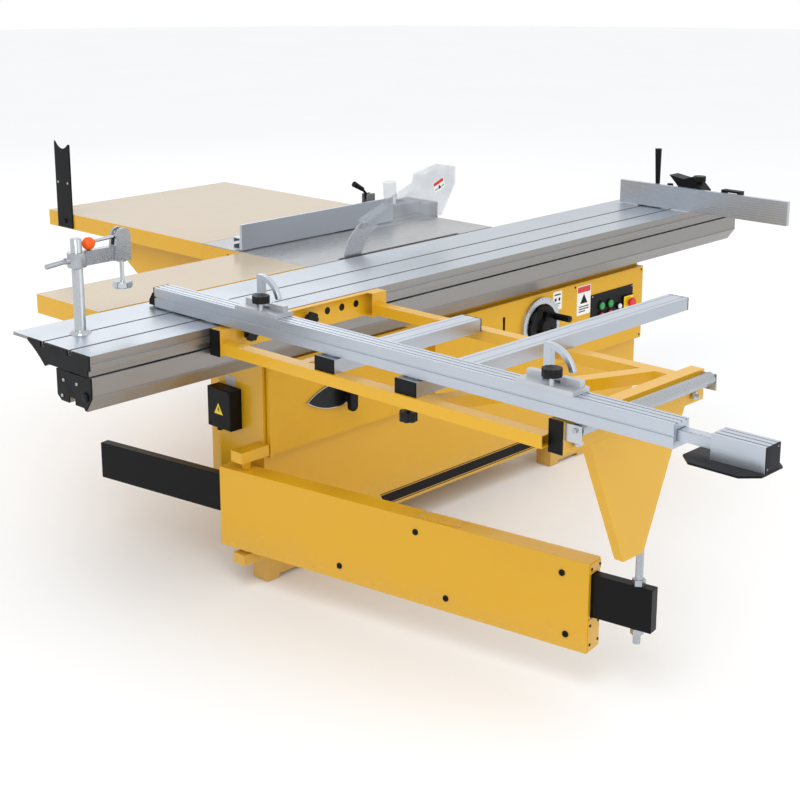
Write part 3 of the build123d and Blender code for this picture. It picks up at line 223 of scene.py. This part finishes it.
def two_tone(name, first, second, letter, limit, metallic=(0.9, 0.0), roughness=(0.3, 0.4)):
    """Two materials on one part: the second one is below a limit along an axis."""
    f = Finish(name, Specular_IOR_Level=0.25)
    lower = f.axis(letter).below(limit)
    mottle = f.ramp(f.noise(24.0, 4.0), 0.3, 0.7)
    worn = f.ramp(f.noise(7.0, 5.0), 0.5, 0.75)
    upper_tone = f.mix(mottle, shade(first, 0.99), shade(first, 1.01))
    lower_tone = f.mix(mottle, shade(second, 0.97), shade(second, 1.03))
    f.feed("Base Color", f.mix(worn * 0.015, f.mix(lower, upper_tone, lower_tone), (0.1, 0.09, 0.08)))
    f.feed("Metallic", lower * (metallic[1] - metallic[0]) + metallic[0])
    f.feed("Roughness", lower * (roughness[1] - roughness[0]) + roughness[0] + mottle * 0.03)
    f.bump(f.noise(380.0, 2.0), 0.00008)
    return f.material


YELLOW = (0.67, 0.365, 0.012)
yellow = paint("yellow_paint", YELLOW)
# the tan top colour is painted light on the table tops, whose real paint is the same yellow
table_yellow = paint("sheet_table_paint_with_painted_top_light", YELLOW, 0.2, top=(0.5, 0.4, 0.27))
SILVER = (0.52, 0.54, 0.57)
BLACK = (0.005, 0.005, 0.006)
door_finish = two_tone("door_paint_and_plate", YELLOW, BLACK, "Y", 0.0049, (0.0, 0.0), (0.22, 0.3))
dial_finish = two_tone("panel_paint_and_ring", YELLOW, SILVER, "Y", -0.0055, (0.0, 0.9), (0.22, 0.25))
stop_finish = two_tone("stop_with_knob", BLACK, SILVER, "Z", 0.974, (0.0, 0.75), (0.42, 0.36))
ball_finish = two_tone("lever_and_ball", SILVER, (0.86, 0.11, 0.005), "X", -1.4215, (1.0, 0.0),
                       (0.15, 0.14))
hardware_finish = two_tone("knobs_and_brackets", BLACK, SILVER, "Y", -1.2335, (0.0, 0.85), (0.42, 0.32))
graphite = paint("graphite_paint", (0.16, 0.165, 0.18), 0.3)
black_paint = paint("black_paint", (0.005, 0.005, 0.006), 0.32, sheen=0.1)
# the side colours below are painted reflection and shade on the faces of the extrusions that do not look up
extruded_x = metal("anodised_along_table", (0.5, 0.545, 0.6), 0.34, (3.0, 140.0, 140.0),
                   side=(0.3, 0.285, 0.27))
extruded_bar = metal("anodised_bars", (0.56, 0.61, 0.68), 0.34, (3.0, 140.0, 140.0),
                     side=(0.46, 0.49, 0.54))
extruded_y = metal("anodised_across", (0.56, 0.61, 0.68), 0.34, (140.0, 3.0, 140.0),
                   side=(0.5, 0.54, 0.6))
ground_iron = metal("ground_cast_iron", (0.42, 0.43, 0.44), 0.3, (3.0, 90.0, 60.0), 0.2, 0.8)
rough_iron = metal("sand_cast_iron", (0.2, 0.2, 0.21), 0.6, (60.0, 60.0, 60.0), 0.3, 0.5, 0.0006)
zinc = metal("zinc_plate", (0.42, 0.44, 0.47), 0.26, (60.0, 60.0, 60.0), 0.2)
chrome = metal("polished_chrome", (0.5, 0.53, 0.56), 0.1, (90.0, 90.0, 20.0), 0.08, 1.0, 0.00001)
tool_steel = metal("tool_steel", (0.5, 0.5, 0.52), 0.25, (90.0, 90.0, 90.0), 0.15)
black_plastic = plastic("black_plastic", (0.005, 0.005, 0.006), sheen=0.14)
red = plastic("red_button", (0.62, 0.012, 0.01), 0.22, 0.15, 0.00003)
green = plastic("green_button", (0.01, 0.28, 0.05), 0.25, 0.15, 0.00003)
white = plastic("white_label", (0.8, 0.8, 0.78), 0.35, 0.2, 0.00003)
sign_yellow = plastic("sign_yellow", (0.85, 0.6, 0.01), 0.35, 0.15, 0.00003)
grey_label = plastic("grey_label", (0.42, 0.43, 0.45), 0.35, 0.2, 0.00003)
clear = clear_plastic("clear_guard")
lamp_glass = plastic("lamp_glass", (0.75, 0.75, 0.7), 0.08, 0.05, 0.00001)

finishes = {
    yellow: "cabinet v_leg swing_arm table_brackets crosscut_frame",
    table_yellow: "outfeed_table side_table",
    graphite: "scoring_motor drive_motor",
    black_paint: "fork_bracket telescopic_beam extension_shoe",
    door_finish: "door",
    dial_finish: "control_box",
    stop_finish: "stop_base_1 stop_base_2",
    ball_finish: "clamp_lever",
    hardware_finish: "frame_hardware",
    extruded_x: "sliding_table slide_beam",
    extruded_bar: "support_bars rip_fence",
    extruded_y: "cross_fence fence_extension short_fence stop_arm_1 stop_arm_2",
    ground_iron: "cast_table",
    rough_iron: "trunnion_supports tilt_frame lift_carriage rip_carriage",
    zinc: "clamp_arm side_roller support_rod",
    chrome: "clamp_post clamp_spindle rip_rail",
    tool_steel: "riving_knife arbor saw_blade motor_pulley scoring_spindle roller_cage",
    black_plastic: "door_knob control_panel height_wheel tilt_wheel beam_end_plates electrical_box "
                   "table_end_plates end_caps short_fence_fittings rip_lever",
    red: "emergency_stop stop_main stop_scoring",
    green: "start_main start_scoring",
    clear: "blade_guard",
}
EDGE = {"cabinet": 3.0, "door": 1.2, "swing_arm": 2.5, "telescopic_beam": 2.0, "v_leg": 1.2,
        "side_table": 2.0, "outfeed_table": 2.0, "cast_table": 1.2, "control_box": 1.0}
for finish, members in finishes.items():
    for name in members.split():
        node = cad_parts[name]
        node.data.materials.clear()
        node.data.materials.append(finish)
        weld = node.modifiers.new("weld", "WELD")
        weld.merge_threshold = 0.00002
        soften = node.modifiers.new("soften", "BEVEL")
        soften.width = EDGE.get(name, 0.6) * MM
        soften.segments = 2
        soften.limit_method = "ANGLE"
        soften.angle_limit = radians(50)
        soften.use_clamp_overlap = True


# ---- small fittings ------------------------------------------------------------
def turned(outward, at):
    """Matrix that stands local +Z along outward at a point given in millimetres."""
    spin = Vector(outward).normalized().to_track_quat("Z", "Y").to_matrix().to_4x4()
    return Matrix.Translation(Vector(at) * MM) @ spin


def finish_piece(mesh, name, material, body, smooth=False):
    data = bpy.data.meshes.new(name)
    bmesh.ops.recalc_face_normals(mesh, faces=mesh.faces)
    for face in mesh.faces:
        face.smooth = smooth
    mesh.to_mesh(data)
    mesh.free()
    data.materials.append(material)
    piece = bpy.data.objects.new(name, data)
    bpy.context.scene.collection.objects.link(piece)
    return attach(piece, body)


def lathe(mesh, place, profile, segments=24):
    """Adds a turned shape: profile is (radius, height) pairs in millimetres."""
    rings = []
    for radius, height in profile:
        ring = [mesh.verts.new(place @ Vector((radius * MM * cos(2 * pi * i / segments),
                                               radius * MM * sin(2 * pi * i / segments),
                                               height * MM))) for i in range(segments)]
        rings.append(ring)
    for low, high in zip(rings, rings[1:]):
        for i in range(segments):
            j = (i + 1) % segments
            mesh.faces.new((low[i], low[j], high[j], high[i]))
    mesh.faces.new(rings[0][::-1])
    mesh.faces.new(rings[-1])


def prism(mesh, place, outline, thickness, edge=0.3):
    """Adds a flat plate with a chamfered face: outline is (x, y) pairs in millimetres."""
    middle = Vector((sum(p[0] for p in outline), sum(p[1] for p in outline))) / len(outline)
    rings = []
    for height, inset in ((0.0, 0.0), (thickness - edge, 0.0), (thickness, edge)):
        ring = []
        for p in outline:
            toward = middle - Vector(p)
            moved = Vector(p) + toward.normalized() * inset
            ring.append(mesh.verts.new(place @ Vector((moved.x * MM, moved.y * MM, height * MM))))
        rings.append(ring)
    count = len(outline)
    for low, high in zip(rings, rings[1:]):
        for i in range(count):
            j = (i + 1) % count
            mesh.faces.new((low[i], low[j], high[j], high[i]))
    mesh.faces.new(rings[0][::-1])
    mesh.faces.new(rings[-1])


def rounded(width, height, radius, centre=(0.0, 0.0)):
    """Outline of a rectangle with rounded corners."""
    points = []
    for quarter in range(4):
        across = (width / 2 - radius) * (1 if quarter in (0, 3) else -1)
        up = (height / 2 - radius) * (1 if quarter in (0, 1) else -1)
        for step in range(5):
            angle = (quarter + step / 4) * pi / 2
            points.append((centre[0] + across + radius * cos(angle),
                           centre[1] + up + radius * sin(angle)))
    return points


def screws(name, places, outward, radius, material, body):
    """Round-headed socket screws, in one piece."""
    mesh = bmesh.new()
    tall = radius * 0.62
    for at in places:
        lathe(mesh, turned(outward, at),
              [(radius, 0), (radius, tall * 0.3), (radius * 0.86, tall * 0.75), (radius * 0.55, tall),
               (radius * 0.45, tall), (radius * 0.4, tall * 0.45), (radius * 0.1, tall * 0.4)])
    return finish_piece(mesh, name, material, body, True)


def plates(name, place, outlines, thickness, material, body, edge=0.3):
    mesh = bmesh.new()
    for outline in outlines:
        prism(mesh, place, outline, thickness, edge)
    return finish_piece(mesh, name, material, body)


def on_near_face(x, y, z):
    """Plane on a face that looks toward -Y: local x runs along +X and local y runs up."""
    return Matrix.Translation(Vector((x, y, z)) * MM) @ Matrix.Rotation(pi / 2, 4, "X")


def on_rear_face(x, y, z):
    """Plane on a face that looks toward -X: local x runs along -Y and local y runs up."""
    return (Matrix.Translation(Vector((x, y, z)) * MM) @ Matrix.Rotation(-pi / 2, 4, "Z")
            @ Matrix.Rotation(pi / 2, 4, "X"))


# swing arm: screws on its rear face, cover plate on top, end plate at its head
ARM_ANGLE = radians(-81.4)
PIVOT = Vector((-1002, 27, 0))
ALONG = Vector((cos(ARM_ANGLE), sin(ARM_ANGLE), 0))
SIDE = Vector((sin(ARM_ANGLE), -cos(ARM_ANGLE), 0))


def on_arm(along, side, height):
    return PIVOT + ALONG * along + SIDE * side + Vector((0, 0, height))


face = 32
screws("arm_screws", [on_arm(a, face, z) for a, z in ((634, 348), (371, 181), (735, 178), (1091, 346),
                                                     (1106, 178))],
       SIDE, 9, black_plastic, "swing_arm")
arm_frame = Matrix.Translation(on_arm(700, 0, 388) * MM) @ Matrix.Rotation(ARM_ANGLE, 4, "Z")
plates("arm_cover", arm_frame, [rounded(138, 46, 4)], 2.5, yellow, "swing_arm", 0.6)
screws("arm_cover_screws", [on_arm(a, s, 390.5) for a in (640, 760) for s in (-16, 16)], (0, 0, 1), 4,
       zinc, "swing_arm")
head_frame = (Matrix.Translation(on_arm(1169, 0, 263) * MM) @ Matrix.Rotation(ARM_ANGLE, 4, "Z")
              @ Matrix.Rotation(pi / 2, 4, "Z") @ Matrix.Rotation(pi / 2, 4, "X"))
plates("arm_head_plates", head_frame, [rounded(58, 26, 3, (0, 108)), rounded(58, 90, 3, (0, -76))], 2.5,
       yellow, "swing_arm", 0.6)
screws("arm_head_screws", [on_arm(1171.5, s, z) for s in (-22, 22) for z in (162, 215, 372)], ALONG, 4,
       black_plastic, "swing_arm")


def leaf(half_length, half_height, steps=14):
    """Outline of a leaf: two arcs that meet in a point at each end."""
    points = []
    for side in (1, -1):
        for step in range(steps):
            across = side * half_length * (1 - 2 * step / steps)
            points.append((across, side * half_height * (1 - (across / half_length) ** 2)))
    return points


# door: bright rim under the dark leaf-shaped plate
plates("door_rim", on_near_face(-651, 5, 545), [leaf(127, 41)], 7.4, chrome, "door", 0.5)

# cabinet: band along the foot of the front panel
band = on_near_face(0, CABINET_FRONT, 0)
plates("front_band", band,
       [[(-414, 106), (400, 106), (418, 139), (-432, 139)], [(-419, 100), (397, 100), (399, 103),
                                                             (-417, 103)],
        [(-435, 142), (421, 142), (423, 145), (-437, 145)]], LABEL, black_plastic, "base", 0.1)
plates("cabinet_label", on_rear_face(CABINET_REAR, 173, 616), [rounded(46, 30, 2)], 0.5, grey_label,
       "base", 0.1)

# labels with plain pictograms
plates("control_label", on_near_face(455, CONTROL_FRONT, 647), [rounded(52, 69, 3)], LABEL, white,
       "base", 0.1)
plates("control_pictogram", on_near_face(455, CONTROL_FRONT - LABEL, 647),
       [rounded(36, 5, 1, (0, 22)), rounded(12, 12, 5, (-11, 4)), rounded(12, 12, 5, (11, 4)),
        rounded(36, 3, 1, (0, -12)), rounded(26, 3, 1, (-5, -20))], MARK, black_plastic, "base", 0.05)
plates("warning_label", on_near_face(614, CONTROL_FRONT, 621), [rounded(83, 110, 4)], LABEL, white,
       "base", 0.1)
warning_face = on_near_face(614, CONTROL_FRONT - LABEL, 621)
plates("warning_band", warning_face, [rounded(77, 22, 2, (0, 41))], MARK, red, "base", 0.05)
plates("warning_pictogram", warning_face,
       [[(-22, -12), (22, -12), (0, 24)], rounded(60, 4, 1, (0, -24)), rounded(60, 4, 1, (0, -33)),
        rounded(40, 4, 1, (-10, -42))], MARK, black_plastic, "base", 0.05)
tilted = on_near_face(134, 285, 1075) @ Matrix.Rotation(radians(20), 4, "Z")
plates("guard_label", tilted, [rounded(58, 40, 3)], LABEL, white, "tilt", 0.1)
on_guard_label = tilted @ Matrix.Translation((0, 0, LABEL * MM))
plates("guard_label_band", on_guard_label, [rounded(52, 12, 2, (0, 11))], MARK, red, "tilt", 0.05)
plates("guard_label_mark", on_guard_label,
       [[(-9, -13), (9, -13), (0, 2)], rounded(14, 3, 1, (18, -9)), rounded(14, 3, 1, (-18, -9))], MARK,
       black_plastic, "tilt", 0.05)
sign = on_rear_face(-979, 177, 536)
plates("hazard_sign", sign, [[(-25, -20), (25, -20), (0, 24)]], LABEL, black_plastic, "base", 0.1)
plates("hazard_face", sign @ Matrix.Translation((0, 0, LABEL * MM)), [[(-20, -17), (20, -17), (0, 18)]], 0.3,
       sign_yellow, "base", 0.05)
plates("hazard_bolt", sign @ Matrix.Translation((0, 0, 0.0007)),
       [[(2, 9), (-5, -3), (-1, -3), (2, -12), (5, -1), (1, -1)]], MARK, black_plastic, "base", 0.05)

# control panel: yellow plate under the emergency stop, and the lamp's lens
plates("stop_plate", on_near_face(888, -14, 565), [rounded(60, 52, 3)], 1.2, sign_yellow, "base", 0.3)
lamp = bmesh.new()
lathe(lamp, turned((0, -1, 0), (828, -16, 561)),
      [(10.5, 0), (10.5, 2), (9.6, 4.5), (7.5, 6.6), (4.5, 7.8), (1, 8.2)])
finish_piece(lamp, "lamp_lens", lamp_glass, "base", True)

# dial marks round the handwheel
marks = bmesh.new()
for step in range(36):
    angle = step * pi / 18
    long = 7 if step % 3 == 0 else 4
    middle = Matrix.Rotation(angle, 4, "Z")
    prism(marks, on_near_face(WHEEL_CENTRE[0], RING_FRONT, WHEEL_CENTRE[1]) @ middle,
          [(100 - long, -0.6), (100, -0.6), (100, 0.6), (100 - long, 0.6)], 0.3, 0.1)
finish_piece(marks, "dial_marks", black_plastic, "base")

# bolts and plugs
screws("panel_screws", [(x, PANEL_FRONT, z) for z in (511, 624) for x in (663, 916)], (0, -1, 0), 3.2,
       zinc, "base")
screws("control_screws", [(x, CONTROL_FRONT, z) for x in (-188, 560, 978) for z in (418, 677)], (0, -1, 0), 4,
       black_plastic, "base")
screws("fork_screws", [(-494, 1640, 1000), (-494, 1702, 1000)], (-1, 0, 0), 5, zinc, "base")
screws("table_edge_bolts", [(-488, 700, 856)], (-1, 0, 0), 6, black_plastic, "base")
screws("beam_end_screws", [(BEAM_REAR, y, z) for y, z in ((0, 790), (60, 790), (-30, 760), (70, 745))],
       (-1, 0, 0), 5, zinc, "base")
extension_end = on_near_face(-1144, EXTENSION_NEAR, 913.5)
plates("extension_cap", extension_end, [rounded(57, 56, 2)], 1.5, black_plastic, "extension", 0.4)
screws("extension_screws", [(x, EXTENSION_NEAR + 0.2, z) for x, z in ((-1164, 893), (-1124, 934))],
       (0, -1, 0), 3.2, zinc, "extension")
knob = bmesh.new()
lathe(knob, turned((-1, 0, 0), (BEAM_REAR, -38, 762)), [(13, 0), (13, 3.5), (11.5, 5), (6, 5.4), (2, 5.5)])
finish_piece(knob, "beam_stop_knob", black_plastic, "base", True)
tape = bmesh.new()
for step in range(17):
    reach = 9 if step % 5 == 0 else 5
    prism(tape, Matrix.Translation(Vector((-1159.5, -1572 - step * 5, TONGUE_TOP)) * MM),
          [(0, -0.5), (reach, -0.5), (reach, 0.5), (0, 0.5)], 0.25, 0.05)
finish_piece(tape, "extension_scale", black_plastic, "extension")

# ---- floor, light and camera -----------------------------------------------------
floor_mesh = bmesh.new()
lathe(floor_mesh, Matrix.Translation((0, 0, -0.002)), [(26000, -10), (26000, 0), (100, 0.0)], 64)
floor = bpy.data.objects.new("floor", bpy.data.meshes.new("floor"))
floor_mesh.to_mesh(floor.data)
floor_mesh.free()
pale = Finish("pale_floor", Roughness=0.7)
pale.feed("Base Color", pale.mix(pale.noise(0.8), (0.9, 0.915, 0.93), (0.93, 0.945, 0.96)))
floor.data.materials.append(pale.material)
bpy.context.scene.collection.objects.link(floor)


def area_light(name, at, aim, width, power, tint=(1.0, 1.0, 1.0)):
    data = bpy.data.lights.new(name, "AREA")
    data.size = width
    data.energy = power
    data.color = tint
    lamp_object = bpy.data.objects.new(name, data)
    lamp_object.location = at
    lamp_object.rotation_euler = (Vector(aim) - Vector(at)).to_track_quat("-Z", "Y").to_euler()
    bpy.context.scene.collection.objects.link(lamp_object)


area_light("key", (-4.5, -3.0, 5.5), (0, 0, 0.6), 3.0, 130)
area_light("fill", (1.5, -6.5, 4.0), (0, 0, 0.6), 5.0, 45)
area_light("rear", (3.0, 6.0, 5.0), (0, 0, 0.8), 4.0, 45)
world = bpy.data.worlds.new("studio")
world.use_nodes = True
world.node_tree.nodes["Background"].inputs[0].default_value = (1.0, 1.0, 1.0, 1.0)
world.node_tree.nodes["Background"].inputs[1].default_value = 1.0
bpy.context.scene.world = world

SENSOR_WIDTH = 36
FOCAL_LENGTH = 67.558005
camera_data = bpy.data.cameras.new("camera")
camera_data.sensor_width = SENSOR_WIDTH
camera_data.lens = FOCAL_LENGTH
camera_data.shift_y = -0.12
camera_data.clip_end = 60
camera = bpy.data.objects.new("camera", camera_data)
camera.location = (-3.748978, -3.220966, 1.958736)
yaw = radians(43.583)
pitch = radians(14.125)
ahead = Vector((cos(yaw) * cos(pitch), sin(yaw) * cos(pitch), -sin(pitch)))
camera.rotation_euler = ahead.to_track_quat("-Z", "Y").to_euler()
bpy.context.scene.collection.objects.link(camera)
bpy.context.scene.camera = camera
bpy.context.scene.view_settings.view_transform = "Standard"
